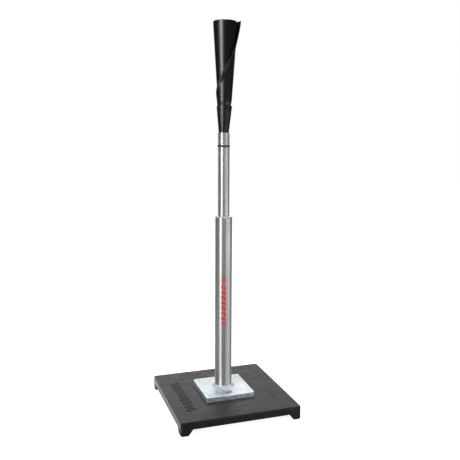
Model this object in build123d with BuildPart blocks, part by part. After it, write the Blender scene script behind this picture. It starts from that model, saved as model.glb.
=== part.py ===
from build123d import *
import os

# A free-standing batting tee: a moulded square base on corner feet, a zinc-plated plate with the
# lower tube welded upright on it, an upper tube that telescopes and stays put by friction, and a
# rolled rubber cone that carries the ball.
# Millimetres. +Z is up, the origin is on the floor at the centre of the base, and -Y is the front.

# ---- Base ----
BASE_SIDE = 266.7
BASE_TOP = 30.5
BASE_CORNER_RADIUS = 4.5
DECK_EDGE_RADIUS = 2.2
DECK_THICKNESS = 6.5
SKIRT_BOTTOM = 14.0
SKIRT_THICKNESS = 6.0
FOOT_WIDTH = 15.5
FOOT_SHOULDER_WIDTH = 26.0
FOOT_EDGE_RADIUS = 4.0
RIB_THICKNESS = 3.0
RIB_PITCH = 44.0
RIB_COUNT = 5
RIB_BOTTOM = 16.5
BOSS_RADIUS = 12.0
BOSS_FLOOR = 5.5

# ---- Slanted frames pressed into the deck, in one column down its left side ----
MARK_COUNT = 9
MARK_LENGTH = 22.0
MARK_WIDTH = 10.5
MARK_GROOVE = 3.2
MARK_CORNER_RADIUS = 2.2
MARK_DEPTH = 1.2
MARK_PITCH = 17.5
MARK_COLUMN_X = -97.0
MARK_CENTRE_Y = -8.0
MARK_SLANT = 28.0

# ---- Plate on the deck and its M6 fasteners ----
PLATE_SIDE = 112.0
PLATE_THICKNESS = 11.0
PLATE_CORNER_RADIUS = 5.0
PLATE_EDGE_RADIUS = 1.8
SCREW_SPACING = 88.0
SCREW_RADIUS = 2.95
SCREW_LENGTH = 25.0
SCREW_TIP_CHAMFER = 0.5
SCREW_HEAD_RADIUS = 6.0
SCREW_HEAD_HEIGHT = 3.3
SCREW_SOCKET_FLATS = 4.0
SCREW_SOCKET_DEPTH = 2.2
CLEARANCE_HOLE_RADIUS = 3.3
COUNTERSINK_RADIUS = 6.5
WASHER_RADIUS = 7.0
WASHER_THICKNESS = 1.6
NUT_FLATS = 10.0
NUT_HEIGHT = 4.6
NUT_COLLAR_RADIUS = 4.4
NUT_COLLAR_HEIGHT = 1.4
NUT_POCKET_RADIUS = 8.5

# ---- Fillet weld round the foot of the lower tube ----
WELD_LEG = 7.0
WELD_TOE = 0.3
WELD_HOLLOW_RADIUS = 9.0

# ---- Stem tubes ----
LOWER_RADIUS = 19.05
UPPER_RADIUS = 12.7
TUBE_WALL = 1.65
LOWER_TOP = 431.5
LIP_HOLE_RADIUS = 13.0
LIP_RISE = 1.1
SHOULDER_RADIUS = 3.4
CRIMP_DROPS = (10.2, 15.0)
CRIMP_RADIUS = 0.9
CRIMP_DEPTH = 0.28
UPPER_BOTTOM = 204.0
UPPER_TOP = 611.3
TUBE_EDGE_RADIUS = 0.5

# ---- Bumper ring near the top of the upper tube, seated in a rolled groove ----
BUMPER_Z = 582.8
BUMPER_RADIUS = 12.0
BUMPER_SECTION_RADIUS = 1.9

# ---- Guide bush in the lower tube, and the friction piston on the end of the upper tube ----
BUSH_TOP = 426.5
BUSH_LENGTH = 24.0
PISTON_HEIGHT = 26.0
PISTON_FLOOR = 8.0
PISTON_RING_RADIUS = 1.2
PISTON_RING_STEPS = (11.5, 19.0)
PIVOT_RADIUS = 2.95
PIVOT_LENGTH = 20.0
PIVOT_HEAD_RADIUS = 5.4
PIVOT_HEAD_HEIGHT = 3.4
PIVOT_SOCKET_FLATS = 4.0
PIVOT_SOCKET_DEPTH = 2.0
PIVOT_WASHER_RADIUS = 6.2
PIVOT_WASHER_THICKNESS = 0.8
PIVOT_RECESS_RADIUS = 6.6
PIVOT_RECESS_DEPTH = 4.9
END_PLUG_HEIGHT = 18.0

# ---- Rubber cup and rolled rubber cone ----
CUP_STEM_BOTTOM = 590.0
CUP_STEM_BORE = 5.0
CUP_TOP = 667.5
CUP_MOUTH_RADIUS = 16.6
CUP_LIP_HEIGHT = 3.2
CUP_LIP_STEP = 0.3
CUP_FLOOR = 621.0
CUP_FLOOR_RADIUS = 10.4
CUP_BORE_RADIUS = 15.45
ROOT_BORE = 6.0
FLEX_Z = 673.0
FLEX_BALL_RADIUS = 15.2
CONE_TOP = 841.0
CONE_WAIST = (17.3, 716.0)
CONE_MIDDLE = (20.8, 767.0)
CONE_BASE_RADIUS = 15.7
CONE_TOP_RADIUS = 25.4
CONE_WALL = 4.2
CONE_RIM_RADIUS = 1.5

# ---- Fits ----
RUNNING_GAP = 0.05
FACE_GAP = 0.1

deck_underside = BASE_TOP - DECK_THICKNESS
plate_top = BASE_TOP + PLATE_THICKNESS
washer_bottom = BASE_TOP - BOSS_FLOOR - WASHER_THICKNESS
lower_bore = LOWER_RADIUS - TUBE_WALL
upper_bore = UPPER_RADIUS - TUBE_WALL
piston_radius = lower_bore - RUNNING_GAP
piston_bottom = UPPER_BOTTOM - FACE_GAP - PISTON_FLOOR
pivot_washer_top = piston_bottom + PIVOT_RECESS_DEPTH - FACE_GAP
pivot_head_top = pivot_washer_top - PIVOT_WASHER_THICKNESS

os.makedirs("parts", exist_ok=True)


def finish(builder, name):
    """Labels a finished piece and writes it as parts/NAME.step."""
    builder.part.label = name
    export_step(builder.part, f"parts/{name}.step")


# ---- base_tray: one moulding with feet, skirt, ribs, screw bosses and pressed marks ----
with BuildPart() as base_tray:
    with BuildSketch():
        Rectangle(BASE_SIDE, BASE_SIDE)
    extrude(amount=BASE_TOP)
    fillet(base_tray.edges().filter_by(Axis.Z), BASE_CORNER_RADIUS)
    fillet(base_tray.edges().group_by(Axis.Z)[-1], DECK_EDGE_RADIUS)
    fillet(base_tray.edges().group_by(Axis.Z)[0], FOOT_EDGE_RADIUS)
    # Two crossing channels leave the corner feet with sloping inner faces.
    for channel_plane in (Plane.XZ, Plane.YZ):
        with BuildSketch(channel_plane):
            with BuildLine():
                Polyline(
                    (-BASE_SIDE / 2 + FOOT_WIDTH, 0),
                    (BASE_SIDE / 2 - FOOT_WIDTH, 0),
                    (BASE_SIDE / 2 - FOOT_SHOULDER_WIDTH, SKIRT_BOTTOM),
                    (-BASE_SIDE / 2 + FOOT_SHOULDER_WIDTH, SKIRT_BOTTOM),
                    close=True,
                )
            make_face()
        extrude(amount=BASE_SIDE, both=True, mode=Mode.SUBTRACT)
    # The hollow under the deck goes round the solid feet.
    with BuildSketch(Plane.XY.offset(SKIRT_BOTTOM)):
        Rectangle(BASE_SIDE - 2 * SKIRT_THICKNESS, BASE_SIDE - 2 * SKIRT_THICKNESS)
        with GridLocations(BASE_SIDE, BASE_SIDE, 2, 2):
            Rectangle(2 * FOOT_SHOULDER_WIDTH, 2 * FOOT_SHOULDER_WIDTH, mode=Mode.SUBTRACT)
    extrude(amount=deck_underside - SKIRT_BOTTOM, mode=Mode.SUBTRACT)
    with BuildSketch(Plane.XY.offset(RIB_BOTTOM)):
        with GridLocations(RIB_PITCH, 0, RIB_COUNT, 1):
            Rectangle(RIB_THICKNESS, BASE_SIDE - SKIRT_THICKNESS)
        with GridLocations(0, RIB_PITCH, 1, RIB_COUNT):
            Rectangle(BASE_SIDE - SKIRT_THICKNESS, RIB_THICKNESS)
    extrude(amount=deck_underside - RIB_BOTTOM)
    with BuildSketch(Plane.XY.offset(SKIRT_BOTTOM)):
        with GridLocations(SCREW_SPACING, SCREW_SPACING, 2, 2):
            Circle(BOSS_RADIUS)
    extrude(amount=deck_underside - SKIRT_BOTTOM)
    # Each boss has a nut pocket from below and a clearance hole through to the deck.
    with Locations(Plane((0, 0, SKIRT_BOTTOM), z_dir=(0, 0, -1))):
        with GridLocations(SCREW_SPACING, SCREW_SPACING, 2, 2):
            CounterBoreHole(
                radius=CLEARANCE_HOLE_RADIUS,
                counter_bore_radius=NUT_POCKET_RADIUS,
                counter_bore_depth=BASE_TOP - BOSS_FLOOR - SKIRT_BOTTOM,
                depth=BASE_TOP - SKIRT_BOTTOM,
            )
    with BuildSketch(Plane.XY.offset(BASE_TOP)):
        with Locations((MARK_COLUMN_X, MARK_CENTRE_Y)):
            with GridLocations(0, MARK_PITCH, 1, MARK_COUNT):
                RectangleRounded(MARK_LENGTH, MARK_WIDTH, MARK_CORNER_RADIUS, rotation=MARK_SLANT)
                Rectangle(
                    MARK_LENGTH - 2 * MARK_GROOVE,
                    MARK_WIDTH - 2 * MARK_GROOVE,
                    rotation=MARK_SLANT,
                    mode=Mode.SUBTRACT,
                )
    extrude(amount=-MARK_DEPTH, mode=Mode.SUBTRACT)
finish(base_tray, "base_tray")

# ---- mounting_plate: thick steel plate with four countersunk holes ----
with BuildPart() as mounting_plate:
    with BuildSketch(Plane.XY.offset(BASE_TOP)):
        RectangleRounded(PLATE_SIDE, PLATE_SIDE, PLATE_CORNER_RADIUS)
    extrude(amount=PLATE_THICKNESS)
    fillet(mounting_plate.edges().group_by(Axis.Z)[-1], PLATE_EDGE_RADIUS)
    with Locations((0, 0, plate_top)):
        with GridLocations(SCREW_SPACING, SCREW_SPACING, 2, 2):
            CounterSinkHole(CLEARANCE_HOLE_RADIUS, COUNTERSINK_RADIUS)
finish(mounting_plate, "mounting_plate")

# ---- plate_screws: four flat-head screws with hexagon sockets ----
with BuildPart() as plate_screw:
    with BuildSketch(Plane.XZ):
        with BuildLine():
            Polyline(
                (0, plate_top - SCREW_LENGTH),
                (SCREW_RADIUS - SCREW_TIP_CHAMFER, plate_top - SCREW_LENGTH),
                (SCREW_RADIUS, plate_top - SCREW_LENGTH + SCREW_TIP_CHAMFER),
                (SCREW_RADIUS, plate_top - SCREW_HEAD_HEIGHT),
                (SCREW_HEAD_RADIUS, plate_top - SCREW_HEAD_HEIGHT + SCREW_HEAD_RADIUS - SCREW_RADIUS),
                (SCREW_HEAD_RADIUS, plate_top),
                (0, plate_top),
                close=True,
            )
        make_face()
    revolve(axis=Axis.Z)
    with BuildSketch(Plane.XY.offset(plate_top)):
        RegularPolygon(SCREW_SOCKET_FLATS / 2, 6, major_radius=False)
    extrude(amount=-SCREW_SOCKET_DEPTH, mode=Mode.SUBTRACT)
with BuildPart() as plate_screws:
    with GridLocations(SCREW_SPACING, SCREW_SPACING, 2, 2):
        add(plate_screw.part)
finish(plate_screws, "plate_screws")

# ---- plate_washers: four, at the tops of the nut pockets ----
with BuildPart() as plate_washers:
    with BuildSketch(Plane.XY.offset(washer_bottom)):
        with GridLocations(SCREW_SPACING, SCREW_SPACING, 2, 2):
            Circle(WASHER_RADIUS)
            Circle(CLEARANCE_HOLE_RADIUS, mode=Mode.SUBTRACT)
    extrude(amount=WASHER_THICKNESS)
finish(plate_washers, "plate_washers")

# ---- plate_nuts: four locking nuts, each with a round collar that holds its nylon ring ----
with BuildPart() as plate_nuts:
    with BuildSketch(Plane.XY.offset(washer_bottom)):
        with GridLocations(SCREW_SPACING, SCREW_SPACING, 2, 2):
            RegularPolygon(NUT_FLATS / 2, 6, major_radius=False)
            Circle(SCREW_RADIUS + RUNNING_GAP, mode=Mode.SUBTRACT)
    extrude(amount=-NUT_HEIGHT)
    with BuildSketch(Plane.XY.offset(washer_bottom - NUT_HEIGHT)):
        with GridLocations(SCREW_SPACING, SCREW_SPACING, 2, 2):
            Circle(NUT_COLLAR_RADIUS)
            Circle(SCREW_RADIUS + RUNNING_GAP, mode=Mode.SUBTRACT)
    extrude(amount=-NUT_COLLAR_HEIGHT)
finish(plate_nuts, "plate_nuts")

# ---- weld_bead: hollow-faced fillet weld between the plate and the lower tube ----
with BuildPart() as weld_bead:
    with BuildSketch(Plane.XZ):
        with BuildLine():
            Polyline(
                (LOWER_RADIUS + WELD_TOE, plate_top + WELD_LEG),
                (LOWER_RADIUS, plate_top + WELD_LEG),
                (LOWER_RADIUS, plate_top),
                (LOWER_RADIUS + WELD_LEG, plate_top),
                (LOWER_RADIUS + WELD_LEG, plate_top + WELD_TOE),
            )
            RadiusArc(
                (LOWER_RADIUS + WELD_LEG, plate_top + WELD_TOE),
                (LOWER_RADIUS + WELD_TOE, plate_top + WELD_LEG),
                WELD_HOLLOW_RADIUS,
            )
        make_face()
    revolve(axis=Axis.Z)
finish(weld_bead, "weld_bead")

# ---- lower_tube: outer tube, rolled in at the top and crimped twice to hold the guide bush ----
shoulder_centre = (LOWER_RADIUS - SHOULDER_RADIUS, LOWER_TOP - LIP_RISE - SHOULDER_RADIUS)
with BuildPart() as lower_tube:
    with BuildSketch(Plane.XZ):
        with BuildLine():
            outer_shoulder = CenterArc(shoulder_centre, SHOULDER_RADIUS, 0, 90)
            inner_shoulder = CenterArc(shoulder_centre, SHOULDER_RADIUS - TUBE_WALL, 0, 90)
            Polyline(outer_shoulder @ 0, (LOWER_RADIUS, plate_top), (lower_bore, plate_top), inner_shoulder @ 0)
            Polyline(
                outer_shoulder @ 1,
                (LIP_HOLE_RADIUS, LOWER_TOP),
                (LIP_HOLE_RADIUS, LOWER_TOP - TUBE_WALL),
                inner_shoulder @ 1,
            )
        make_face()
    revolve(axis=Axis.Z)
    with BuildSketch(Plane.XZ):
        for crimp_drop in CRIMP_DROPS:
            with Locations((LOWER_RADIUS + CRIMP_RADIUS - CRIMP_DEPTH, LOWER_TOP - crimp_drop)):
                Circle(CRIMP_RADIUS)
    revolve(axis=Axis.Z, mode=Mode.SUBTRACT)
finish(lower_tube, "lower_tube")

# ---- guide_bush: nylon bush held in the top of the lower tube by the crimps ----
with BuildPart() as guide_bush:
    with BuildSketch(Plane.XY.offset(BUSH_TOP - BUSH_LENGTH)):
        Circle(lower_bore)
        Circle(UPPER_RADIUS + RUNNING_GAP, mode=Mode.SUBTRACT)
    extrude(amount=BUSH_LENGTH)
    chamfer(guide_bush.edges().filter_by(GeomType.CIRCLE).sort_by(SortBy.RADIUS)[:2], TUBE_EDGE_RADIUS)
finish(guide_bush, "guide_bush")

# ---- piston: nylon cup that the upper tube turns in, with two ring grooves outside ----
with BuildPart() as piston:
    with BuildSketch(Plane.XY.offset(piston_bottom)):
        Circle(piston_radius)
        Circle(PIVOT_RADIUS + RUNNING_GAP, mode=Mode.SUBTRACT)
    extrude(amount=PISTON_HEIGHT)
    with BuildSketch(Plane.XY.offset(piston_bottom + PISTON_FLOOR)):
        Circle(UPPER_RADIUS + RUNNING_GAP)
    extrude(amount=PISTON_HEIGHT - PISTON_FLOOR, mode=Mode.SUBTRACT)
    with BuildSketch(Plane.XY.offset(piston_bottom)):
        Circle(PIVOT_RECESS_RADIUS)
    extrude(amount=PIVOT_RECESS_DEPTH, mode=Mode.SUBTRACT)
    for ring_step in PISTON_RING_STEPS:
        with BuildSketch(Plane.XY.offset(piston_bottom + ring_step)):
            Circle(piston_radius)
            Circle(piston_radius - 2 * PISTON_RING_RADIUS - RUNNING_GAP, mode=Mode.SUBTRACT)
        extrude(amount=PISTON_RING_RADIUS + RUNNING_GAP, both=True, mode=Mode.SUBTRACT)
finish(piston, "piston")

# ---- piston_rings: two rubber rings that grip the wall of the lower tube ----
with BuildPart() as piston_rings:
    with BuildSketch(Plane.XZ):
        for ring_step in PISTON_RING_STEPS:
            with Locations((piston_radius - PISTON_RING_RADIUS, piston_bottom + ring_step)):
                Circle(PISTON_RING_RADIUS)
    revolve(axis=Axis.Z)
finish(piston_rings, "piston_rings")

# ---- end_plug: steel plug pressed into the foot of the upper tube, tapped for the pivot screw ----
with BuildPart() as end_plug:
    with BuildSketch(Plane.XY.offset(UPPER_BOTTOM)):
        Circle(upper_bore)
        Circle(PIVOT_RADIUS + RUNNING_GAP, mode=Mode.SUBTRACT)
    extrude(amount=END_PLUG_HEIGHT)
finish(end_plug, "end_plug")

# ---- pivot_screw: holds the piston on the tube while leaving the tube free to turn ----
with BuildPart() as pivot_screw:
    with BuildSketch(Plane.XY.offset(pivot_head_top)):
        Circle(PIVOT_HEAD_RADIUS)
    extrude(amount=-PIVOT_HEAD_HEIGHT)
    fillet(pivot_screw.edges().group_by(Axis.Z)[0], TUBE_EDGE_RADIUS)
    with BuildSketch(Plane.XY.offset(pivot_head_top)):
        Circle(PIVOT_RADIUS)
    extrude(amount=PIVOT_LENGTH)
    with BuildSketch(Plane.XY.offset(pivot_head_top - PIVOT_HEAD_HEIGHT)):
        RegularPolygon(PIVOT_SOCKET_FLATS / 2, 6, major_radius=False)
    extrude(amount=PIVOT_SOCKET_DEPTH, mode=Mode.SUBTRACT)
finish(pivot_screw, "pivot_screw")

# ---- pivot_washer: thin washer between the screw head and the piston floor ----
with BuildPart() as pivot_washer:
    with BuildSketch(Plane.XY.offset(pivot_head_top)):
        Circle(PIVOT_WASHER_RADIUS)
        Circle(PIVOT_RADIUS + RUNNING_GAP, mode=Mode.SUBTRACT)
    extrude(amount=PIVOT_WASHER_THICKNESS)
finish(pivot_washer, "pivot_washer")

# ---- upper_tube: inner tube with a rolled groove, which stands out as a bead in its bore ----
with BuildPart() as upper_tube:
    with BuildSketch(Plane.XZ):
        with Locations((upper_bore, UPPER_BOTTOM)):
            Rectangle(TUBE_WALL, UPPER_TOP - UPPER_BOTTOM, align=Align.MIN)
        with Locations((BUMPER_RADIUS, BUMPER_Z)):
            Circle(BUMPER_SECTION_RADIUS + RUNNING_GAP + TUBE_WALL)
        with Locations((UPPER_RADIUS, BUMPER_Z)):
            Rectangle(UPPER_RADIUS, UPPER_RADIUS, align=(Align.MIN, Align.CENTER), mode=Mode.SUBTRACT)
        with Locations((BUMPER_RADIUS, BUMPER_Z)):
            Circle(BUMPER_SECTION_RADIUS + RUNNING_GAP, mode=Mode.SUBTRACT)
    revolve(axis=Axis.Z)
    fillet(upper_tube.edges().group_by(Axis.Z)[-1].sort_by(SortBy.RADIUS)[-1], TUBE_EDGE_RADIUS)
finish(upper_tube, "upper_tube")

# ---- bumper_ring: rubber ring in the rolled groove, which stops the stem at its lowest ----
with BuildPart() as bumper_ring:
    with BuildSketch(Plane.XZ):
        with Locations((BUMPER_RADIUS, BUMPER_Z)):
            Circle(BUMPER_SECTION_RADIUS)
    revolve(axis=Axis.Z)
finish(bumper_ring, "bumper_ring")

# ---- cone_cup: tapered rubber cup plugged into the mouth of the upper tube ----
with BuildPart() as cone_cup:
    with BuildSketch(Plane.XZ):
        with BuildLine():
            Polyline(
                (CUP_STEM_BORE, CUP_STEM_BOTTOM),
                (upper_bore - RUNNING_GAP, CUP_STEM_BOTTOM),
                (upper_bore - RUNNING_GAP, UPPER_TOP + FACE_GAP),
                (CUP_MOUTH_RADIUS - CUP_LIP_STEP, CUP_TOP - CUP_LIP_HEIGHT),
                (CUP_MOUTH_RADIUS, CUP_TOP - CUP_LIP_HEIGHT),
                (CUP_MOUTH_RADIUS, CUP_TOP),
                (CUP_BORE_RADIUS, CUP_TOP),
                (CUP_FLOOR_RADIUS, CUP_FLOOR),
                (CUP_STEM_BORE, CUP_FLOOR),
                close=True,
            )
        make_face()
    revolve(axis=Axis.Z)
    fillet(cone_cup.edges().group_by(Axis.Z)[-1].sort_by(SortBy.RADIUS)[-1], TUBE_EDGE_RADIUS)
finish(cone_cup, "cone_cup")

# ---- cone_root: the part of the rolled rubber that is glued into the cup, domed where it bends ----
ball_edge_radius = (FLEX_BALL_RADIUS**2 - (FLEX_Z - CUP_TOP) ** 2) ** 0.5
ball_bore_z = FLEX_Z + (FLEX_BALL_RADIUS**2 - ROOT_BORE**2) ** 0.5
with BuildPart() as cone_root:
    with BuildSketch(Plane.XZ):
        with BuildLine():
            Polyline(
                (ball_edge_radius, CUP_TOP),
                (CUP_BORE_RADIUS - RUNNING_GAP, CUP_TOP),
                (CUP_FLOOR_RADIUS - RUNNING_GAP, CUP_FLOOR),
                (ROOT_BORE, CUP_FLOOR),
                (ROOT_BORE, ball_bore_z),
            )
            ThreePointArc((ROOT_BORE, ball_bore_z), (FLEX_BALL_RADIUS, FLEX_Z), (ball_edge_radius, CUP_TOP))
        make_face()
    revolve(axis=Axis.Z)
finish(cone_root, "cone_root")

# ---- cone: flared rubber tube that rocks on the domed root and carries the ball on its rim ----
with BuildPart() as cone:
    with BuildSketch(Plane.XZ):
        with BuildLine():
            flare = Spline(
                (CONE_BASE_RADIUS, FLEX_Z),
                CONE_WAIST,
                CONE_MIDDLE,
                (CONE_TOP_RADIUS, CONE_TOP),
            )
            Polyline(flare @ 1, (CONE_TOP_RADIUS - CONE_WALL, CONE_TOP))
            bore = Spline(
                (CONE_TOP_RADIUS - CONE_WALL, CONE_TOP),
                (CONE_MIDDLE[0] - CONE_WALL, CONE_MIDDLE[1]),
                (CONE_WAIST[0] - CONE_WALL, CONE_WAIST[1]),
                (CONE_BASE_RADIUS - CONE_WALL, FLEX_Z),
            )
            Polyline(bore @ 1, flare @ 0)
        make_face()
    revolve(axis=Axis.Z)
    with BuildSketch(Plane.XZ):
        with Locations((0, FLEX_Z)):
            Circle(FLEX_BALL_RADIUS + RUNNING_GAP)
            Rectangle(
                4 * FLEX_BALL_RADIUS,
                4 * FLEX_BALL_RADIUS,
                align=(Align.MAX, Align.CENTER),
                mode=Mode.SUBTRACT,
            )
    revolve(axis=Axis.Z, mode=Mode.SUBTRACT)
    fillet(cone.edges().group_by(Axis.Z)[-1], CONE_RIM_RADIUS)
finish(cone, "cone")
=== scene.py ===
import math

import bmesh
import bpy
from mathutils import Matrix, Vector


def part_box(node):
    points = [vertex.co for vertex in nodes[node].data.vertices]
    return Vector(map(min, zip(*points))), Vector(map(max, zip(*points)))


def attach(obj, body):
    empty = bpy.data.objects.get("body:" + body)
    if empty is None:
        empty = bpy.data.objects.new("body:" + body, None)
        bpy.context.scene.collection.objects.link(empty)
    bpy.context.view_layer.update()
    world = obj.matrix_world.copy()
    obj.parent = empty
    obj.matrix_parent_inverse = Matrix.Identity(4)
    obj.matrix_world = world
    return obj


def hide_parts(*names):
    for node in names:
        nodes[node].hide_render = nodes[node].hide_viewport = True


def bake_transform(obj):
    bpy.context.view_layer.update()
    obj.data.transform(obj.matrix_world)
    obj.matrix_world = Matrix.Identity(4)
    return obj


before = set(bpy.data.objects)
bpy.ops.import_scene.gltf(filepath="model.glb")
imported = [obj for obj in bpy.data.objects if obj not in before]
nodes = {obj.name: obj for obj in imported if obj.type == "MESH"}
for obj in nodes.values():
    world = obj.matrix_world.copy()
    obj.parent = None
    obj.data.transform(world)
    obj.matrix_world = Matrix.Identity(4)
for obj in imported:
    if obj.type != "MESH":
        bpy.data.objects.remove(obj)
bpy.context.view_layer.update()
tube_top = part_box("upper_tube")[1].z
cup_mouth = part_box("cone_cup")[1].z
cone_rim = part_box("cone")[1].z
plate_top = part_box("mounting_plate")[1].z

MM = 0.001
MERGE_DISTANCE = 1e-6

# ---- Camera: where it stands round the stem, how high, and how it is turned ----
CAMERA_DISTANCE = 1.3193
CAMERA_AZIMUTH = -18.19
CAMERA_HEIGHT = 0.5946
CAMERA_PITCH = -8.39
CAMERA_YAW = -0.62
CAMERA_ROLL = 0.24
CAMERA_LENS = 47.48
CAMERA_SENSOR = 36.0

# Level directions as the camera sees them: to its right, and from the stem towards it.
CAMERA_TURN = math.radians(CAMERA_AZIMUTH)
TO_THE_RIGHT = Vector((math.cos(CAMERA_TURN), math.sin(CAMERA_TURN), 0.0))
TO_THE_CAMERA = Vector((math.sin(CAMERA_TURN), -math.cos(CAMERA_TURN), 0.0))

# ---- How the rubber leans to the camera's right, in the cup and above it ----
CUP_LEAN = 1.1 * MM
ROLL_SHIFT = 0.3 * MM
ROLL_SHIFT_HEIGHT = 12.0 * MM
ROLL_LEAN = 0.0045

# ---- Rolled rubber cone: the sheet, and the radius of the roll ----
SHEET = 1.9 * MM
SHEET_TURNS = 1.85
ROLL_GAP = 0.08 * MM
ROLL_DEPTH_IN_CUP = 30.0 * MM
ROLL_BOTTOM_RADIUS = 15.9 * MM
ROLL_FLARE = 0.061
ROLL_TAPER_IN_CUP = 0.06
MOUTH_SQUEEZE = 0.75 * MM
MOUTH_SQUEEZE_HEIGHT = 10.0 * MM

# ---- The sheet's free edge: how far it stands off, and where it lies ----
# The path gives mm below the rim, and degrees round from the camera to its right.
FLAP_STAND_OFF = 5.8 * MM
FLAP_HEIGHT = 50.0 * MM
FLAP_REACH = 62.0
FLAP_RISE = 2.4 * MM
FLAP_RISE_REACH = 80.0
SEAM_STAND_OFF = 2.0 * MM
SEAM_REACH = 26.0
SEAM_TIGHT_HEIGHT = 50.0 * MM
SEAM_ROUNDING = 7.0 * MM
SEAM_ROUNDING_STEPS = 4
SEAM_PATH = (
    (0.0, 97.0),
    (38.0, 84.0),
    (52.0, 63.0),
    (92.0, 2.0),
    (120.0, -35.0),
    (152.0, -90.0),
    (175.0, -150.0),
)

# ---- How finely the roll is meshed, and how its ends and rim are rounded ----
ROLL_ROWS = 130
ROLL_STEPS_ROUND = 230
SHEET_END_STEPS = 1.6
SHEET_END_THINNEST = 0.28
RIM_TURNS = (30, 60, 80)

# ---- Rubber cup: the mouth and the plugged end come from the frame ----
CUP_LIP_HEIGHT = 3.2 * MM
CUP_LIP_STEP = 0.3 * MM
CUP_BORE_RADIUS = 15.45 * MM
CUP_FLOOR_RADIUS = 10.4 * MM
CUP_FLOOR_DROP = 46.5 * MM
CUP_DRAIN_RADIUS = 5.0 * MM
CUP_PLUG_RADIUS = 11.0 * MM
CUP_GAP_OVER_TUBE = 0.1 * MM
CUP_EDGE_RADIUS = 0.6 * MM
CUP_EDGE_STEPS = 4
CUP_TAPER_STEPS = 24
CUP_BORE_STEPS = 12
CUP_STEPS_ROUND = 96

# ---- Weld: its ripples, and how the outline dips and wanders ----
WELD_RIPPLES = 44
WELD_RIPPLE_HEIGHT = 0.24 * MM
WELD_RIPPLE_BOW = 1.9
WELD_RIPPLE_UNEVEN = 0.5
WELD_CREST_SHARPNESS = 0.6
WELD_CREST_LEVEL = 0.65
WELD_HOLLOW = 1.15 * MM
WELD_LIFT_SLOPE = 0.7
WELD_SLOW_WANDER = 0.35 * MM
WELD_FAST_WANDER = 0.22 * MM
WELD_STEPS_ROUND = 528
WELD_STEPS_ACROSS = 12
WELD_INTO_TUBE = 0.1 * MM
WELD_INTO_PLATE = 0.1 * MM
WELD_BACK_INTO_TUBE = 0.2 * MM

# ---- Printed marks, all plain shapes ----
RED_TOP = 0.300
RED_GAP_TOP = 0.2825
RED_GAP_BOTTOM = 0.2775
RED_BOTTOM = 0.184
RED_HALF_WIDTH = 5.3 * MM
RED_BAR_PITCH = 11.7 * MM
RED_BAR_GAP = 0.44
RED_BAR_SLOPE = 0.45
RED_LOZENGE_HOLE = 0.42
RED_FACING = -16.0
BLUE_CENTRE = (0.0, -0.040)
BLUE_HALF_SIZE = (8.0 * MM, 4.4 * MM)
BLUE_FADE = 0.25
TINT_CENTRE = (-0.020, -0.040)
TINT_HALF_SIZE = (15.0 * MM, 9.0 * MM)
TINT_FADE = 0.6
TINT_STRENGTH = 0.6

# ---- Deck: a painted bluish sheen at the front, dustier and shinier at the back, with one scrape that is less shiny ----
PAINTED_BLUE_SHEEN_Y = (-0.12, -0.04)
DUST_Y = (-0.06, 0.12)
SHINE_Y = (-0.13, 0.12)
SHINE = (0.33, 0.59)
SCRAPE_X = 0.097
SCRAPE_Y = (-0.09, 0.005)
SCRAPE_HALF_WIDTH = 3.5 * MM
SCRAPE_FRONT_FADE = 0.02
SCRAPE_BACK_FADE = 0.04
SCRAPE_DULLING = 0.45

# ---- Share of broad shine over each metal, its roughness, and the shine of the rubbers ----
# The printed tube gets painted shade low down, a darker colour that dims its highlight, and is a little
# rougher there; both change over between the two heights given last below.
HAZE_ON_TUBE = 0.27
HAZE_ON_ZINC = 0.38
HAZE_ON_WELD = 0.75
HAZE_ROUGHNESS_ON_TUBE = 0.85
HAZE_ROUGHNESS_ON_ZINC = 0.8
SHEET_SHINE = 0.68
MOULDED_SHINE = 0.72
SHADED_DULL_HEIGHTS = (0.24, 0.42)

# ---- Floor and room ----
FLOOR_HALF_SIZE = 6.0
FLOOR_Z = -0.2 * MM
FLOOR_GREY = 0.30
FLOOR_GREY_SEEN = 0.8
FLOOR_SHADOW_REACH = (0.15, 0.55)
FLOOR_GLOW_NEAR = 0.88
ROOM_GREY = 0.03
ROOM_BLUE_LEAN = 1.05

# ---- A glowing strip of floor left of the base, seen only in reflections: its faded edges ----
GLOW_BESIDE_BASE = 1.75
STRIP_RIGHT_EDGE = (-0.15, -0.14)
STRIP_LEFT_EDGE = (-0.26, -0.22)
STRIP_FRONT_EDGE = (-0.16, -0.12)
STRIP_BACK_EDGE = (0.3, 0.4)

# A Mix node keeps its colours in these sockets, after the ones for numbers and vectors.
MIX_FIRST = 6
MIX_SECOND = 7
MIX_RESULT = 2

WHITE = (1.0, 1.0, 1.0, 1.0)


def linear(value):
    """One display value from 0 to 255, as the linear value that Blender works in."""
    share = value / 255
    return share / 12.92 if value <= 10 else ((share + 0.055) / 1.055) ** 2.4


def srgb(r, g, b):
    """A colour given as display values from 0 to 255."""
    return (linear(r), linear(g), linear(b), 1.0)


def grey(value):
    """A grey given as a linear value."""
    return (value, value, value, 1.0)


# ---------------------------------------------------------------- node helpers

def put(tree, value, socket):
    """Puts a number, a colour or another node's output into a socket."""
    if isinstance(value, bpy.types.NodeSocket):
        tree.links.new(value, socket)
    else:
        socket.default_value = value


def mixed_colour(tree, factor, first, second):
    """The output of a new node that blends two colours."""
    node = tree.nodes.new("ShaderNodeMix")
    node.data_type = "RGBA"
    put(tree, factor, node.inputs["Factor"])
    put(tree, first, node.inputs[MIX_FIRST])
    put(tree, second, node.inputs[MIX_SECOND])
    return node.outputs[MIX_RESULT]


def camera_ray(tree):
    """1 for what the camera sees directly, 0 for what light and reflections see."""
    return tree.nodes.new("ShaderNodeLightPath").outputs["Is Camera Ray"]


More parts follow.
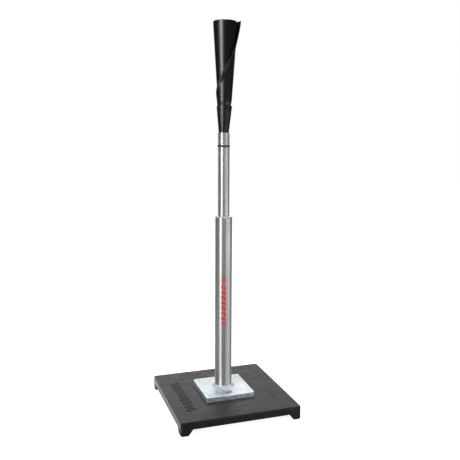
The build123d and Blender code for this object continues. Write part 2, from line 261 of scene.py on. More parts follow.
class Shader:
    """A material being built, with short calls for the nodes that the materials here share."""

    def __init__(self, name):
        self.material = bpy.data.materials.new(name)
        self.material.use_nodes = True
        self.tree = self.material.node_tree
        self.surface = self.tree.nodes["Principled BSDF"]
        self.place = self.tree.nodes.new("ShaderNodeTexCoord").outputs["Object"]

    def link(self, value, socket):
        put(self.tree, value, socket)

    def set(self, **inputs):
        """Sets inputs of the surface by name, with underscores for spaces."""
        for name, value in inputs.items():
            self.link(value, self.surface.inputs[name.replace("_", " ")])

    def math(self, operation, a, b=0.0, clamp=False):
        node = self.tree.nodes.new("ShaderNodeMath")
        node.operation = operation
        node.use_clamp = clamp
        self.link(a, node.inputs[0])
        self.link(b, node.inputs[1])
        return node.outputs[0]

    def times(self, a, b, clamp=False):
        return self.math("MULTIPLY", a, b, clamp)

    def off_centre(self, value, centre, half_size):
        """How far a value is from a centre, counted in half sizes."""
        distance = self.math("ABSOLUTE", self.math("SUBTRACT", value, centre))
        return self.math("DIVIDE", distance, half_size)

    def axes(self, vector=None):
        """The x, y and z of a vector, which is the place on the object unless another is given."""
        node = self.tree.nodes.new("ShaderNodeSeparateXYZ")
        self.link(vector or self.place, node.inputs[0])
        return node.outputs

    def stretched(self, scale):
        """The place on the object, scaled by a different amount along each axis."""
        node = self.tree.nodes.new("ShaderNodeMapping")
        self.link(self.place, node.inputs["Vector"])
        node.inputs["Scale"].default_value = scale
        return node.outputs[0]

    def noise(self, scale, detail=3.0, roughness=0.55, vector=None):
        node = self.tree.nodes.new("ShaderNodeTexNoise")
        self.link(vector or self.place, node.inputs["Vector"])
        node.inputs["Scale"].default_value = scale
        node.inputs["Detail"].default_value = detail
        node.inputs["Roughness"].default_value = roughness
        return node.outputs[0]

    def crystals(self, scale):
        """A random value from 0 to 1 for each cell, as the grains of zinc plating show."""
        node = self.tree.nodes.new("ShaderNodeTexVoronoi")
        self.link(self.place, node.inputs["Vector"])
        node.inputs["Scale"].default_value = scale
        return self.axes(node.outputs["Color"])[0]

    def ramp(self, value, low, high, out_low=0.0, out_high=1.0):
        """Maps low..high to out_low..out_high, held at the ends."""
        node = self.tree.nodes.new("ShaderNodeMapRange")
        self.link(value, node.inputs["Value"])
        node.inputs["From Min"].default_value = low
        node.inputs["From Max"].default_value = high
        node.inputs["To Min"].default_value = out_low
        node.inputs["To Max"].default_value = out_high
        return node.outputs[0]

    def mix(self, factor, first, second):
        """Blends two colours."""
        return mixed_colour(self.tree, factor, first, second)

    def bump(self, height, distance, strength=1.0, below=None):
        node = self.tree.nodes.new("ShaderNodeBump")
        self.link(height, node.inputs["Height"])
        node.inputs["Distance"].default_value = distance
        node.inputs["Strength"].default_value = strength
        if below is not None:
            self.link(below, node.inputs["Normal"])
        return node.outputs[0]

    def haze(self, share, colour, metallic, roughness):
        """Lays a share of a much rougher shine over the surface, as brushed and plated metal shows."""
        broad = self.tree.nodes.new("ShaderNodeBsdfPrincipled")
        self.link(colour, broad.inputs["Base Color"])
        self.link(metallic, broad.inputs["Metallic"])
        self.link(roughness, broad.inputs["Roughness"])
        blend = self.tree.nodes.new("ShaderNodeMixShader")
        self.link(share, blend.inputs[0])
        self.link(self.surface.outputs[0], blend.inputs[1])
        self.link(broad.outputs[0], blend.inputs[2])
        self.link(blend.outputs[0], self.tree.nodes["Material Output"].inputs["Surface"])

    def edges(self, radius):
        """1 on flat stretches and less along sharp edges, from the rounded normal."""
        node = self.tree.nodes.new("ShaderNodeBevel")
        node.samples = 4
        node.inputs["Radius"].default_value = radius
        geometry = self.tree.nodes.new("ShaderNodeNewGeometry")
        dot = self.tree.nodes.new("ShaderNodeVectorMath")
        dot.operation = "DOT_PRODUCT"
        self.link(node.outputs[0], dot.inputs[0])
        self.link(geometry.outputs["Normal"], dot.inputs[1])
        return dot.outputs["Value"]


# ---------------------------------------------------------------- object helpers

def paint(objects, material):
    """Gives each object this one material."""
    for each in objects:
        each.data.materials.clear()
        each.data.materials.append(material)


def shade_smooth(obj):
    for face in obj.data.polygons:
        face.use_smooth = True


def crisp(obj, angle=30.0):
    """Smooth shading with crisp edges above an angle; the vertices stay where they are."""
    shade_smooth(obj)
    modifier = obj.modifiers.new("crisp edges", "EDGE_SPLIT")
    modifier.split_angle = math.radians(angle)


def mesh_object(name, rows, closed_rows=False, closed_columns=False):
    """A grid of points as a quad mesh. rows is a list of equally long lists of points."""
    height = len(rows)
    width = len(rows[0])
    points = [point for row in rows for point in row]
    faces = []
    for i in range(height if closed_columns else height - 1):
        for j in range(width if closed_rows else width - 1):
            here = i * width
            following = (i + 1) % height * width
            beside = (j + 1) % width
            faces.append((here + j, here + beside, following + beside, following + j))
    mesh = bpy.data.meshes.new(name)
    mesh.from_pydata(points, [], faces)
    mesh.update()
    obj = bpy.data.objects.new(name, mesh)
    bpy.context.scene.collection.objects.link(obj)
    return obj


def tidy_normals(obj):
    """Merges touching points and turns all faces outwards."""
    work = bmesh.new()
    work.from_mesh(obj.data)
    bmesh.ops.remove_doubles(work, verts=work.verts, dist=MERGE_DISTANCE)
    bmesh.ops.recalc_face_normals(work, faces=work.faces)
    work.to_mesh(obj.data)
    work.free()


def ring(radius, centre, steps):
    """Points evenly round a level circle."""
    turns = [2 * math.pi * step / steps for step in range(steps)]
    return [centre + Vector((radius * math.cos(turn), radius * math.sin(turn), 0.0)) for turn in turns]


def ease(t):
    """0 to 1 with a smooth start and end."""
    t = min(max(t, 0.0), 1.0)
    return t * t * (3 - 2 * t)


# ---------------------------------------------------------------- moulded base

def scrape(s, x, y):
    """1 along the middle of the scrape on the deck, fading to 0 at its sides and ends."""
    front, back = SCRAPE_Y
    across = s.ramp(s.off_centre(x, SCRAPE_X, SCRAPE_HALF_WIDTH), 0.3, 1.0, 1.0, 0.0)
    from_front = s.ramp(y, front, front + SCRAPE_FRONT_FADE)
    to_back = s.ramp(y, back - SCRAPE_BACK_FADE, back, 1.0, 0.0)
    return s.times(across, s.times(from_front, to_back))


def moulded_plastic():
    """Dark grey moulded base: fine grain, faint flow clouds, a painted bluish sheen at the front, dust
    towards the back, and lighter edges that are partly worn and partly a painted highlight.
    """
    s = Shader("moulded plastic")
    x, y = s.axes()[:2]

    clouds = s.noise(scale=9.0, detail=4.0, roughness=0.6)
    colour = s.mix(s.ramp(clouds, 0.3, 0.7), srgb(18, 18, 20), srgb(27, 26, 26))
    # Painted reflection: a cool bluish sheen laid into the colour over the front of the deck.
    colour = s.mix(s.ramp(y, *PAINTED_BLUE_SHEEN_Y, 0.7, 0.0), colour, srgb(14, 20, 30))
    dust = s.ramp(s.noise(scale=38.0, detail=5.0, roughness=0.65), 0.45, 0.75)
    colour = s.mix(s.times(dust, s.ramp(y, *DUST_Y, 0.08, 0.60)), colour, srgb(112, 92, 74))

    # Lighter edges: partly real wear, partly a painted highlight where the bevels catch the light.
    near_edge = s.ramp(s.edges(1.2 * MM), 0.80, 0.985, 1.0, 0.0)
    edge_wear_and_highlight = s.times(near_edge, s.ramp(s.noise(scale=120.0), 0.35, 0.6), clamp=True)
    colour = s.mix(s.times(edge_wear_and_highlight, 0.35), colour, srgb(128, 126, 124))

    roughness = s.ramp(s.noise(scale=60.0, detail=4.0), 0.3, 0.7, 0.34, 0.46)
    unscraped = s.math("SUBTRACT", 1.0, s.times(scrape(s, x, y), SCRAPE_DULLING))
    shine = s.times(s.ramp(y, *SHINE_Y, *SHINE), unscraped)

    grain = s.bump(s.noise(scale=900.0, detail=2.0, roughness=0.7), 0.05 * MM, 0.5)
    relief = s.bump(s.noise(scale=24.0, detail=1.0), 0.25 * MM, 0.25, below=grain)
    s.set(Base_Color=colour, Roughness=roughness, Normal=relief, IOR=1.5, Specular_IOR_Level=shine)
    return s.material


# ---------------------------------------------------------------- zinc plate

def plate_patch(s, centre, half_size, fade):
    """1 inside a rectangle on the top of the plate, fading to 0 at its edges."""
    x, y, z = s.axes()
    across = s.ramp(s.off_centre(x, centre[0], half_size[0]), 1.0 - fade, 1.0, 1.0, 0.0)
    along = s.ramp(s.off_centre(y, centre[1], half_size[1]), 1.0 - fade, 1.0, 1.0, 0.0)
    on_top = s.math("GREATER_THAN", z, plate_top - 0.1 * MM)
    return s.times(s.times(across, along), on_top)


def zinc(name, printed=False):
    """Zinc plating: pale bluish metal with cloudy crystals and fine scratches, and painted mottled shade on
    its sides.
    """
    s = Shader(name)
    crystal = s.crystals(scale=95.0)
    clouds = s.noise(scale=22.0, detail=5.0, roughness=0.6)
    colour = s.mix(s.ramp(clouds, 0.3, 0.7), srgb(214, 223, 228), srgb(236, 240, 241))
    colour = s.mix(s.times(crystal, 0.16), colour, srgb(188, 200, 208))

    # Painted shade: darker mottled patches on the faces that stand upright, a shaded copy of the top's
    # colour.
    facing = s.tree.nodes.new("ShaderNodeNewGeometry").outputs["True Normal"]
    painted_side_shade = s.ramp(s.axes(facing)[2], 0.25, 0.5, 1.0, 0.0)
    patches = s.noise(scale=120.0, detail=4.0, roughness=0.65, vector=s.stretched((0.6, 0.6, 1.6)))
    colour = s.mix(s.times(painted_side_shade, s.ramp(patches, 0.35, 0.65)), colour, srgb(158, 167, 174))

    metallic = 1.0
    if printed:
        faded = s.ramp(s.noise(scale=90.0), 0.3, 0.5)
        tint = s.times(plate_patch(s, TINT_CENTRE, TINT_HALF_SIZE, TINT_FADE), faded)
        colour = s.mix(s.times(tint, TINT_STRENGTH), colour, srgb(156, 208, 234))
        blue = plate_patch(s, BLUE_CENTRE, BLUE_HALF_SIZE, BLUE_FADE)
        colour = s.mix(blue, colour, srgb(70, 112, 152))
        metallic = s.math("SUBTRACT", 1.0, blue)

    uneven = s.math("ADD", s.times(crystal, 0.4), s.noise(scale=48.0, detail=5.0))
    roughness = s.ramp(uneven, 0.3, 1.0, 0.26, 0.46)
    scratches = s.noise(scale=420.0, detail=2.0, roughness=0.7, vector=s.stretched((1.0, 0.12, 1.0)))
    relief = s.bump(scratches, 0.012 * MM, 0.6)
    relief = s.bump(clouds, 0.05 * MM, 0.4, below=relief)
    s.set(Base_Color=colour, Metallic=metallic, Roughness=roughness, Normal=relief)
    s.haze(HAZE_ON_ZINC, colour, metallic, HAZE_ROUGHNESS_ON_ZINC)
    return s.material


# ---------------------------------------------------------------- steel tubes

def red_marks(s):
    """1 on the slanted bars and on the hollow lozenge above them, both a little worn."""
    x, y, z = s.axes()
    facing = math.radians(RED_FACING)
    across = s.math("ADD", s.times(x, math.cos(facing)), s.times(y, math.sin(facing)))
    outward = s.math("SUBTRACT", s.times(x, math.sin(facing)), s.times(y, math.cos(facing)))

    slanted_z = s.math("ADD", z, s.times(across, RED_BAR_SLOPE))
    above_bottom = s.math("SUBTRACT", slanted_z, RED_BOTTOM)
    phase = s.math("FRACT", s.math("DIVIDE", above_bottom, RED_BAR_PITCH))
    bars = s.math("GREATER_THAN", phase, RED_BAR_GAP)
    bars = s.times(bars, s.math("GREATER_THAN", slanted_z, RED_BOTTOM))
    bars = s.times(bars, s.math("LESS_THAN", slanted_z, RED_GAP_BOTTOM))

    middle = (RED_TOP + RED_GAP_TOP) / 2
    half_height = (RED_TOP - RED_GAP_TOP) / 2
    spread = s.math("ADD", s.off_centre(z, middle, half_height), s.off_centre(across, 0.0, RED_HALF_WIDTH))
    lozenge = s.times(s.math("LESS_THAN", spread, 1.0), s.math("GREATER_THAN", spread, RED_LOZENGE_HOLE))

    marks = s.math("ADD", bars, lozenge, clamp=True)
    marks = s.times(marks, s.math("LESS_THAN", s.math("ABSOLUTE", across), RED_HALF_WIDTH))
    marks = s.times(marks, s.math("GREATER_THAN", outward, 0.0))
    return s.times(marks, s.ramp(s.noise(scale=260.0), 0.28, 0.38))


def drawn_steel(name, printed=False):
    """Polished drawn tube: long faint draw lines and soft smudges. The printed tube has painted shade low
    down and is a little rougher there.
    """
    s = Shader(name)
    lines = s.noise(scale=520.0, roughness=0.7, vector=s.stretched((1.0, 1.0, 0.012)))
    smudges = s.noise(scale=26.0, detail=5.0, roughness=0.62, vector=s.stretched((1.0, 1.0, 0.45)))
    colour = s.mix(s.ramp(lines, 0.35, 0.65), srgb(200, 200, 200), srgb(224, 224, 223))
    colour = s.mix(s.ramp(smudges, 0.5, 0.8, 0.0, 0.35), colour, srgb(176, 175, 173))
    uneven = s.math("ADD", s.times(lines, 0.35), s.times(smudges, 0.65))
    roughness = s.ramp(uneven, 0.35, 0.65, 0.38, 0.46)

    metallic = 1.0
    if printed:
        z = s.axes()[2]
        # Painted shade: a darker colour low on the printed tube that dims its highlight, as if the light
        # fell off there.
        low_shade_colour = s.mix(lines, srgb(190, 190, 190), srgb(202, 202, 201))
        colour = s.mix(s.ramp(z, *SHADED_DULL_HEIGHTS, 1.0, 0.0), colour, low_shade_colour)
        red = red_marks(s)
        colour = s.mix(red, colour, srgb(226, 52, 38))
        metallic = s.math("SUBTRACT", 1.0, red)
        roughness = s.math("ADD", roughness, s.times(red, 0.12))
        roughness = s.math("ADD", roughness, s.ramp(z, *SHADED_DULL_HEIGHTS, 0.05, 0.0))

    relief = s.bump(lines, 0.010 * MM, 0.35)
    relief = s.bump(smudges, 0.06 * MM, 0.12, below=relief)
    tangent = s.tree.nodes.new("ShaderNodeTangent")
    tangent.direction_type = "RADIAL"
    tangent.axis = "Z"
    s.set(Base_Color=colour, Metallic=metallic, Roughness=roughness, Normal=relief)
    s.set(Anisotropic=0.93, Anisotropic_Rotation=0.25, Tangent=tangent.outputs[0])
    s.haze(HAZE_ON_TUBE, colour, metallic, HAZE_ROUGHNESS_ON_TUBE)
    return s.material


# ---------------------------------------------------------------- rubber, nylon, fasteners and weld

def sheet_rubber():
    """Black sheet rubber: fine calender lines, matt bloom and small scuffs."""
    s = Shader("sheet rubber")
    bloom = s.noise(scale=34.0, detail=5.0, roughness=0.65)
    colour = s.mix(s.ramp(bloom, 0.35, 0.7), srgb(7, 7, 7), srgb(14, 14, 13))
    rubs = s.noise(scale=150.0, detail=4.0, roughness=0.75, vector=s.stretched((1.0, 1.0, 0.3)))
    colour = s.mix(s.ramp(rubs, 0.62, 0.78, 0.0, 0.35), colour, srgb(46, 44, 42))
    roughness = s.ramp(bloom, 0.3, 0.7, 0.31, 0.40)
    grain = s.noise(scale=1400.0, detail=2.0, roughness=0.6)
    lines = s.noise(scale=240.0, roughness=0.6, vector=s.stretched((1.0, 1.0, 0.06)))
    relief = s.bump(grain, 0.03 * MM, 0.18)
    relief = s.bump(lines, 0.08 * MM, 0.18, below=relief)
    s.set(Base_Color=colour, Roughness=roughness, Normal=relief, IOR=1.5, Specular_IOR_Level=SHEET_SHINE)
    return s.material


def moulded_rubber(name, shade, roughness_low):
    """Moulded black rubber for the cup and the rings: satin, with faint mould lines."""
    s = Shader(name)
    clouds = s.noise(scale=55.0, detail=4.0, roughness=0.6)
    lighter = shade + 12
    colour = s.mix(s.ramp(clouds, 0.35, 0.7), srgb(shade, shade, shade), srgb(lighter, lighter, lighter))
    roughness = s.ramp(clouds, 0.3, 0.7, roughness_low, roughness_low + 0.10)
    mould_lines = s.noise(scale=160.0, detail=2.0, roughness=0.6, vector=s.stretched((0.25, 0.25, 1.0)))
    relief = s.bump(s.noise(scale=1100.0, detail=2.0), 0.03 * MM, 0.3)
    relief = s.bump(mould_lines, 0.06 * MM, 0.25, below=relief)
    s.set(Base_Color=colour, Roughness=roughness, Normal=relief, IOR=1.5, Specular_IOR_Level=MOULDED_SHINE)
    return s.material


def nylon():
    """Natural nylon for the guide bush and the piston: milky, with faint turning lines."""
    s = Shader("natural nylon")
    turning = s.noise(scale=600.0, detail=2.0, roughness=0.6, vector=s.stretched((0.05, 0.05, 1.0)))
    colour = s.mix(s.ramp(s.noise(scale=40.0), 0.3, 0.7), srgb(226, 222, 210), srgb(238, 235, 226))
    roughness = s.ramp(turning, 0.3, 0.7, 0.38, 0.52)
    s.set(Base_Color=colour, Roughness=roughness, Normal=s.bump(turning, 0.03 * MM, 0.5))
    s.set(Subsurface_Weight=0.15, Subsurface_Radius=(2.0 * MM, 2.0 * MM, 2.0 * MM))
    return s.material


def fastener_steel():
    """Plated washers, nuts and pivot screw: greyer than the plate, with tarnish and worn edges."""
    s = Shader("fastener steel")
    tarnish = s.noise(scale=130.0, detail=4.0, roughness=0.65)
    colour = s.mix(s.ramp(tarnish, 0.35, 0.7), srgb(150, 153, 155), srgb(192, 195, 197))
    worn = s.ramp(s.edges(0.3 * MM), 0.8, 0.98, 1.0, 0.0)
    colour = s.mix(s.times(worn, 0.5), colour, srgb(226, 226, 224))
    roughness = s.ramp(tarnish, 0.3, 0.7, 0.26, 0.44)
    relief = s.bump(s.noise(scale=700.0), 0.02 * MM, 0.5)
    s.set(Base_Color=colour, Metallic=1.0, Roughness=roughness, Normal=relief)
    return s.material


def weld_metal():
    """The weld under its zinc: pale and cloudy, with a rough skin and a broad shine."""
    s = Shader("weld metal")
    clouds = s.noise(scale=70.0, detail=4.0, roughness=0.6)
    colour = s.mix(s.ramp(clouds, 0.35, 0.7), srgb(205, 212, 216), srgb(240, 243, 243))
    roughness = s.ramp(clouds, 0.3, 0.7, 0.28, 0.42)
    relief = s.bump(s.noise(scale=420.0, detail=4.0, roughness=0.7), 0.05 * MM, 0.4)
    s.set(Base_Color=colour, Metallic=1.0, Roughness=roughness, Normal=relief)
    s.haze(HAZE_ON_WELD, colour, 1.0, HAZE_ROUGHNESS_ON_ZINC)
    return s.material


# ---------------------------------------------------------------- rubber cup

def rubber_lean(z):
    """How far the rubber leans to the camera's right at height z, starting where it leaves the tube."""
    in_cup = min(max((z - tube_top) / (cup_mouth - tube_top), 0.0), 1.0)
    above_mouth = max(z - cup_mouth, 0.0)
    return CUP_LEAN * in_cup + ROLL_SHIFT * ease(above_mouth / ROLL_SHIFT_HEIGHT) + ROLL_LEAN * above_mouth


def straight(start, end, steps):
    """Points along a straight stretch of the cup's outline, after its first one."""
    return [tuple(Vector(start).lerp(Vector(end), step / steps)) for step in range(1, steps + 1)]


def rounded(widest, edge_radius, z, first_turn):
    """Points of a quarter turn of the cup's outline, round a centre at height z."""
    centre = widest - edge_radius
    turns = [math.radians(first_turn + 90 * step / CUP_EDGE_STEPS) for step in range(CUP_EDGE_STEPS + 1)]
    return [(centre + edge_radius * math.cos(turn), z + edge_radius * math.sin(turn)) for turn in turns]


def cup_outline():
    """The cup's outline as radius and height: up the outside, over the lip and down the bore."""
    low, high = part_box("cone_cup")
    lip_bottom = high.z - CUP_LIP_HEIGHT
    neck = (CUP_PLUG_RADIUS, tube_top + CUP_GAP_OVER_TUBE)
    under_lip = (high.x - CUP_LIP_STEP, lip_bottom)
    bore_top = (CUP_BORE_RADIUS, high.z - CUP_EDGE_RADIUS / 4)
    bore_foot = (CUP_FLOOR_RADIUS, high.z - CUP_FLOOR_DROP)
    outline = [(CUP_DRAIN_RADIUS, low.z), (CUP_PLUG_RADIUS, low.z), neck]
    outline += straight(neck, under_lip, CUP_TAPER_STEPS)
    outline += rounded(high.x, CUP_EDGE_RADIUS / 2, lip_bottom + CUP_EDGE_RADIUS / 2, -90)
    outline += rounded(high.x, CUP_EDGE_RADIUS, high.z - CUP_EDGE_RADIUS, 0)
    outline += [(CUP_BORE_RADIUS + CUP_EDGE_RADIUS / 4, high.z), bore_top]
    outline += straight(bore_top, bore_foot, CUP_BORE_STEPS)
    outline.append((CUP_DRAIN_RADIUS, high.z - CUP_FLOOR_DROP))
    return outline


def leaning_cup():
    """The tapered cup, turned about an axis that leans a little above the tube, with rounded lip edges."""
    rows = []
    for radius, height in cup_outline():
        centre = TO_THE_RIGHT * rubber_lean(height) + Vector((0.0, 0.0, height))
        rows.append(ring(radius, centre, CUP_STEPS_ROUND))
    obj = mesh_object("leaning_cup", rows, closed_rows=True, closed_columns=True)
    tidy_normals(obj)
    crisp(obj, 35.0)
    return obj


# ---------------------------------------------------------------- rolled rubber cone

def seam_angle(drop):
    """Degrees round from the camera, to its right, of the sheet's free edge at this depth below the rim."""
    drop_mm = drop / MM
    for (upper, angle_above), (lower, angle_below) in zip(SEAM_PATH, SEAM_PATH[1:]):
        if drop_mm <= lower:
            share = (drop_mm - upper) / (lower - upper)
            return angle_above + (angle_below - angle_above) * max(share, 0.0)
    return SEAM_PATH[-1][1]


def smooth_seam_angle(drop):
    """The seam path with its corners rounded off."""
    steps = range(-SEAM_ROUNDING_STEPS, SEAM_ROUNDING_STEPS + 1)
    samples = [seam_angle(drop + SEAM_ROUNDING * step / SEAM_ROUNDING_STEPS) for step in steps]
    return sum(samples) / len(samples)


def sheet_middle(u_degrees, z):
    """The middle of the sheet's thickness at height z, u_degrees round the spiral from its free edge."""
    drop = cone_rim - z
    above_mouth = z - cup_mouth
    radius = ROLL_BOTTOM_RADIUS + ROLL_FLARE * max(above_mouth, 0.0)
    radius -= MOUTH_SQUEEZE * (1.0 - ease(above_mouth / MOUTH_SQUEEZE_HEIGHT))
    radius += ROLL_TAPER_IN_CUP * min(above_mouth, 0.0)
    radius -= SHEET / 2 + (SHEET + ROLL_GAP) * u_degrees / 360.0
    flap = FLAP_STAND_OFF * ease(1.0 - drop / FLAP_HEIGHT) * ease(1.0 - u_degrees / FLAP_REACH)
    lifted = SEAM_STAND_OFF * ease(above_mouth / SEAM_TIGHT_HEIGHT) * ease(1.0 - u_degrees / SEAM_REACH)
    radius += flap + lifted
    angle = math.radians(smooth_seam_angle(drop) + u_degrees)
    spoke = TO_THE_RIGHT * math.sin(angle) + TO_THE_CAMERA * math.cos(angle)
    return TO_THE_RIGHT * rubber_lean(z) + spoke * radius


def sheet_outward(u_degrees, z):
    """Which way the sheet's outer face looks, from the line along the spiral."""
    middle = sheet_middle(u_degrees, z)
    along = sheet_middle(u_degrees + 1.0, z) - sheet_middle(max(u_degrees - 1.0, 0.0), z)
    normal = Vector((along.y, -along.x, 0.0)).normalized()
    return normal if normal.dot(middle) > 0 else -normal


def sheet_section(z, thickness, rise):
    """The sheet's closed outline at height z: out along the outer face, round the end, back inside."""
    outer = []
    inner = []
    for step in range(ROLL_STEPS_ROUND + 1):
        u_degrees = 360.0 * SHEET_TURNS * step / ROLL_STEPS_ROUND
        lift = rise * FLAP_RISE * ease(1.0 - u_degrees / FLAP_RISE_REACH)
        middle = sheet_middle(u_degrees, z) + Vector((0.0, 0.0, z + lift))
        from_end = min(min(step, ROLL_STEPS_ROUND - step) / SHEET_END_STEPS, 1.0)
        roundness = math.sqrt(max(0.0, 1 - (1 - from_end) ** 2))
        share = SHEET_END_THINNEST + (1 - SHEET_END_THINNEST) * roundness
        half = sheet_outward(u_degrees, z) * (thickness / 2 * share)
        outer.append(middle + half)
        inner.append(middle - half)
    return outer + inner[::-1]


def close_sheet_ends(obj, row_count):
    """Faces across the sheet's thickness, all along its bottom and top edges."""
    row_length = 2 * (ROLL_STEPS_ROUND + 1)
    work = bmesh.new()
    work.from_mesh(obj.data)
    work.verts.ensure_lookup_table()
    for first in (0, (row_count - 1) * row_length):
        for step in range(ROLL_STEPS_ROUND):
            outer = first + step
            inner = first + row_length - 1 - step
            work.faces.new([work.verts[k] for k in (outer, outer + 1, inner - 1, inner)])
    work.to_mesh(obj.data)
    work.free()


def rolled_cone():
    """One rubber sheet rolled nearly twice round, whose free edge runs down the front as a spiral seam."""
    bottom = cup_mouth - ROLL_DEPTH_IN_CUP
    shoulder = cone_rim - SHEET / 2
    rows = []
    for i in range(ROLL_ROWS + 1):
        z = bottom + (shoulder - bottom) * i / ROLL_ROWS
        rows.append(sheet_section(z, SHEET, ease(1.0 - (cone_rim - z) / FLAP_HEIGHT)))
    for turn in RIM_TURNS:
        tilt = math.radians(turn)
        rows.append(sheet_section(shoulder + SHEET / 2 * math.sin(tilt), SHEET * math.cos(tilt), 1.0))
    obj = mesh_object("rolled_cone", rows, closed_rows=True)
    close_sheet_ends(obj, len(rows))
    tidy_normals(obj)
    shade_smooth(obj)
    return obj


# ---------------------------------------------------------------- weld

def weld_row(share, low, high, tube_radius):
    """One line round the weld, a share of the way from its foot on the plate to its top on the tube."""
    bulge = math.sin(math.pi * share)
    row = []
    for step in range(WELD_STEPS_ROUND):
        angle = 2 * math.pi * step / WELD_STEPS_ROUND
        wander = WELD_SLOW_WANDER * math.sin(3 * angle + 0.8) + WELD_FAST_WANDER * math.sin(7 * angle)
        radius = high.x + wander * (1 - share) + (tube_radius - high.x - WELD_INTO_TUBE) * share
        height = low.z + (high.z - low.z) * share
        phase = WELD_RIPPLES * angle + WELD_RIPPLE_BOW * (2 * share - 1) ** 2
        phase += WELD_RIPPLE_UNEVEN * math.sin(5 * angle)
        crest = abs(math.sin(phase / 2)) ** WELD_CREST_SHARPNESS
        lift = WELD_RIPPLE_HEIGHT * (crest - WELD_CREST_LEVEL) * bulge - WELD_HOLLOW * bulge
        outward = lift * WELD_LIFT_SLOPE
        radius += outward
        row.append(Vector((radius * math.cos(angle), radius * math.sin(angle), height + outward)))
    return row


def weld_run():
    """The fillet weld with its ripples: overlapping crescents laid one after another round the tube."""
    low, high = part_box("weld_bead")
    tube_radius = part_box("lower_tube")[1].x
    shares = [step / WELD_STEPS_ACROSS for step in range(WELD_STEPS_ACROSS + 1)]
    rows = [weld_row(share, low, high, tube_radius) for share in shares]
    back_radius = tube_radius - WELD_BACK_INTO_TUBE
    bottom = low.z - WELD_INTO_PLATE
    for radius, height in ((back_radius, high.z), (back_radius, bottom), (high.x, bottom)):
        rows.append(ring(radius, Vector((0.0, 0.0, height)), WELD_STEPS_ROUND))
    obj = mesh_object("weld_run", rows, closed_rows=True, closed_columns=True)
    tidy_normals(obj)
    shade_smooth(obj)
    return obj


# ---------------------------------------------------------------- stage, lights and camera

def floor():
    """A plain pale floor: white to the camera with a faint shadow, darker in the reflections."""
    ends = (-FLOOR_HALF_SIZE, FLOOR_HALF_SIZE)
    obj = mesh_object("floor", [[Vector((x, y, FLOOR_Z)) for x in ends] for y in ends])
    s = Shader("pale floor")
    seen = camera_ray(s.tree)
    x, y = s.axes()[:2]

    from_stem = s.math("SQRT", s.math("ADD", s.times(x, x), s.times(y, y)))
    glow_seen = s.ramp(from_stem, *FLOOR_SHADOW_REACH, FLOOR_GLOW_NEAR, 1.0)
    strip = s.times(s.ramp(x, *STRIP_RIGHT_EDGE, 1.0, 0.0), s.ramp(x, *STRIP_LEFT_EDGE))
    strip = s.times(strip, s.ramp(y, *STRIP_FRONT_EDGE, 0.0, GLOW_BESIDE_BASE))
    strip = s.times(strip, s.ramp(y, *STRIP_BACK_EDGE, 1.0, 0.0))
    glow_reflected = s.times(strip, s.math("SUBTRACT", 1.0, seen))
    glow = s.math("ADD", s.times(glow_seen, seen), glow_reflected)

    s.set(Base_Color=s.mix(seen, grey(FLOOR_GREY), grey(FLOOR_GREY_SEEN)), Roughness=0.9)
    s.set(Specular_IOR_Level=0.0, Emission_Color=WHITE, Emission_Strength=glow)
    paint([obj], s.material)


def backdrop():
    """White behind everything that the camera sees, and a dark room for light and reflections."""
    world = bpy.data.worlds.new("studio")
    world.use_nodes = True
    bpy.context.scene.world = world
    tree = world.node_tree
    room = (ROOM_GREY, ROOM_GREY, ROOM_GREY * ROOM_BLUE_LEAN, 1.0)
    colour = mixed_colour(tree, camera_ray(tree), room, WHITE)
    tree.links.new(colour, tree.nodes["Background"].inputs["Color"])


def softbox(name, azimuth, distance, height, size, radiance, aim_height):
    """A rectangular light facing the stem, azimuth degrees round it from the camera to its right."""
    data = bpy.data.lights.new(name, "AREA")
    data.shape = "RECTANGLE"
    data.size, data.size_y = size
    data.energy = radiance * math.pi * size[0] * size[1]
    light = bpy.data.objects.new(name, data)
    bpy.context.scene.collection.objects.link(light)
    light.visible_camera = False
    turn = math.radians(CAMERA_AZIMUTH + azimuth)
    light.location = (distance * math.sin(turn), -distance * math.cos(turn), height)
    aim = Vector((0.0, 0.0, aim_height)) - light.location
    light.rotation_euler = aim.to_track_quat("-Z", "Y").to_euler()


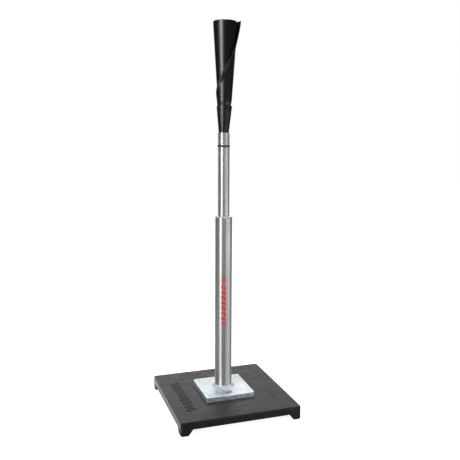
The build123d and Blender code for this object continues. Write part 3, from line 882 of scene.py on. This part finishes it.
def lights():
    """A key and a rim on the left, a low fill on the right, and two boxes that light from above."""
    # name, azimuth, distance, height, (width, height of the box), radiance, aim height
    boxes = (
        ("key", -38.0, 2.0, 1.0, (0.76, 1.30), 11.0, 0.7),
        ("fill", 66.0, 1.0, 0.14, (1.30, 0.34), 4.2, 0.1),
        ("overhead", 175.0, 1.4, 1.7, (2.6, 2.0), 2.2, 0.0),
        ("top", 40.0, 0.35, 1.9, (0.9, 0.9), 3.2, 0.0),
        ("rim", -142.0, 1.5, 0.25, (0.35, 0.5), 3.5, 0.0),
    )
    for box in boxes:
        softbox(*box)


def camera():
    """A camera before the front left of the base, looking a little down and a little right of the stem."""
    data = bpy.data.cameras.new("camera")
    data.lens = CAMERA_LENS
    data.sensor_width = CAMERA_SENSOR
    obj = bpy.data.objects.new("camera", data)
    bpy.context.scene.collection.objects.link(obj)
    obj.location = TO_THE_CAMERA * CAMERA_DISTANCE + Vector((0.0, 0.0, CAMERA_HEIGHT))
    turn = Matrix.Rotation(math.radians(CAMERA_AZIMUTH + CAMERA_YAW), 3, "Z")
    nod = Matrix.Rotation(math.radians(90.0 + CAMERA_PITCH), 3, "X")
    tilt = Matrix.Rotation(math.radians(CAMERA_ROLL), 3, "Z")
    obj.rotation_euler = (turn @ nod @ tilt).to_euler()
    bpy.context.scene.camera = obj


# ---------------------------------------------------------------- assembly

def dress_cad_nodes():
    """Materials for the CAD nodes that stay as they are."""
    dress = (
        (moulded_plastic(), ("base_tray",)),
        (zinc("zinc plate", printed=True), ("mounting_plate",)),
        (zinc("zinc screws"), ("plate_screws",)),
        (fastener_steel(), ("plate_washers", "plate_nuts", "pivot_screw", "pivot_washer")),
        (drawn_steel("drawn steel, printed", printed=True), ("lower_tube",)),
        (drawn_steel("drawn steel"), ("upper_tube", "end_plug")),
        (nylon(), ("guide_bush", "piston")),
        (moulded_rubber("ring rubber", shade=10, roughness_low=0.42), ("bumper_ring", "piston_rings")),
    )
    for material, names in dress:
        paint([nodes[name] for name in names], material)
    for name in ("base_tray", "mounting_plate", "lower_tube", "upper_tube", "bumper_ring"):
        crisp(nodes[name])


dress_cad_nodes()

weld = weld_run()
paint([weld], weld_metal())
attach(weld, "base")
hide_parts("weld_bead")

cup = leaning_cup()
paint([cup], moulded_rubber("cup rubber", shade=12, roughness_low=0.27))
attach(cup, "upper_stem")
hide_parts("cone_cup")

cone = rolled_cone()
paint([cone], sheet_rubber())
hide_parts("cone", "cone_root")
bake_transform(cone)

floor()
backdrop()
lights()
camera()
bpy.context.scene.view_settings.view_transform = "Standard"
